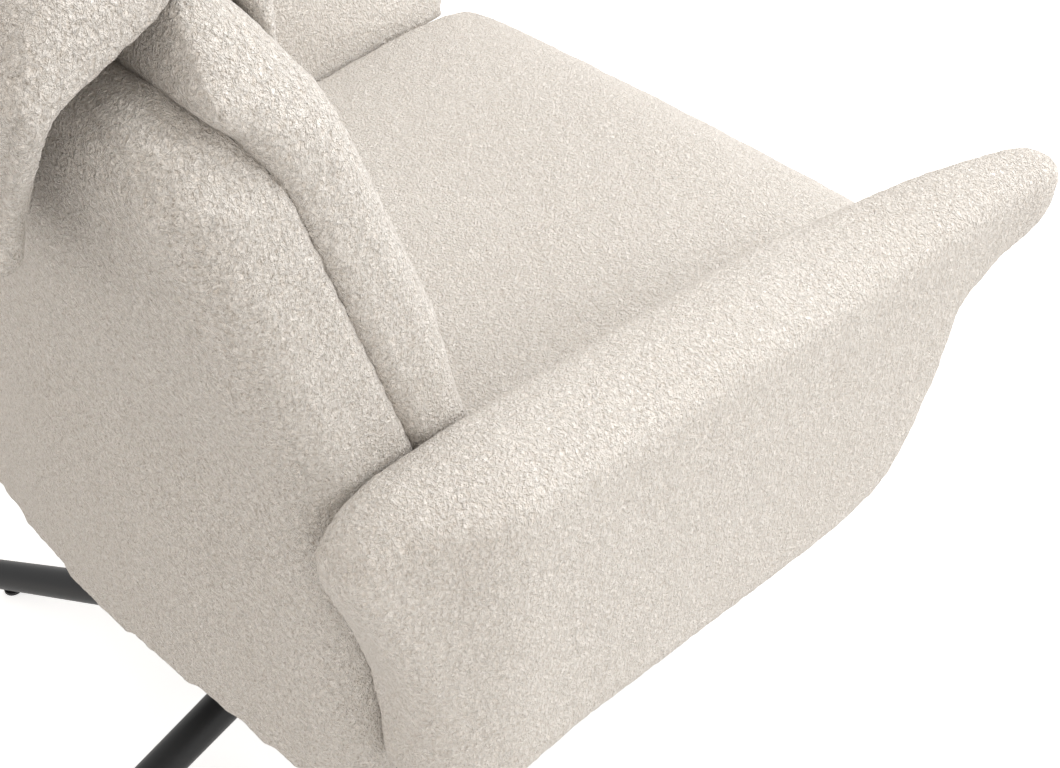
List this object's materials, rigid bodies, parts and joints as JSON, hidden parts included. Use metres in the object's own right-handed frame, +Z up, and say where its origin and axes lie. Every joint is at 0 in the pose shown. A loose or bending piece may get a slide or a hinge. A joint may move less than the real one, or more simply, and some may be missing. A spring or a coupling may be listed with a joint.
{
  "type": "recliner chair",
  "caption": "Swivel lounge chair in cream teddy fabric with winged arms, reclining back, draped sliding headrest, release lever and black tube star base.",
  "frame": {"origin": "on the floor below the middle of the whole chair's bounding box", "axes": "+Z up, the chair faces -Y, the sitter's right hand is towards -X"},
  "size_m": [0.7806, 0.8519, 0.9325],
  "materials": {
    "teddy": "long looped pile, matte",
    "black_metal": "satin powder coat",
    "steel": "zinc plated",
    "black_plastic": "fine grain",
    "plywood": "bare",
    "webbing": "woven elastic",
    "dust_cloth": "non-woven"
  },
  "bodies": {
    "base": {"base_hub": "black_metal", "leg_rear": "black_metal", "leg_rear_right": "black_metal", "leg_front_right": "black_metal", "leg_front_left": "black_metal", "leg_rear_left": "black_metal", "leg_glides": "black_plastic", "leg_caps": "black_plastic", "column_tube": "black_metal", "swivel_bush": "black_plastic"},
    "seat": {"swivel_spindle": "steel", "swivel_plate": "black_metal", "plate_bolts": "steel", "arm_bolts": "steel", "seat_frame": "plywood", "seat_webbing": "webbing", "seat_border": "teddy", "dust_cover": "dust_cloth", "seat_cushion": "teddy", "arm_panel_right": "plywood", "arm_panel_left": "plywood", "arm_pad_right": "teddy", "arm_pad_left": "teddy", "recline_bracket_right": "black_metal", "recline_bracket_left": "black_metal", "recline_pins": "steel", "strut_anchor": "black_metal", "strut_rod": "steel", "lever_hangers": "black_plastic"},
    "back": {"back_frame": "plywood", "back_hinge_right": "black_metal", "back_hinge_left": "black_metal", "back_webbing": "webbing", "back_shell": "teddy", "back_cushion": "teddy", "strut_arm": "black_metal", "strut_pin": "steel"},
    "strut": {"strut_cylinder": "black_metal"},
    "lever": {"release_lever": "steel", "lever_grip": "black_plastic"},
    "headrest": {"headrest_cushion": "teddy", "headrest_weight": "steel"}
  },
  "joints": [
    {"name": "swivel", "type": "hinge", "parent": "base", "child": "seat", "pos_m": [0, 0.055, 0.236], "axis": [0, 0, 1], "continuous": true},
    {"name": "recline", "type": "hinge", "parent": "seat", "child": "back", "pos_m": [0, 0.136, 0.375], "axis": [-1, 0, 0], "range_deg": [0, 25]},
    {"name": "strut_slide", "type": "slide", "parent": "seat", "child": "strut", "axis": [0, -1, 0], "range_m": [0, 0.0262]},
    {"name": "lever", "type": "hinge", "parent": "seat", "child": "lever", "pos_m": [0, -0.1696, 0.282], "axis": [-1, 0, 0], "range_deg": [0, 10], "stiffness_Nm_per_rad": 1.5, "springref_deg": -5.73},
    {"name": "headrest_slide", "type": "slide", "parent": "back", "child": "headrest", "axis": [0, 0.3464, 0.9381], "range_m": [0, 0.05]}
  ],
  "couplings": [
    {"joint": "strut_slide", "follows": "recline", "m_per_rad": 0.059525}
  ]
}
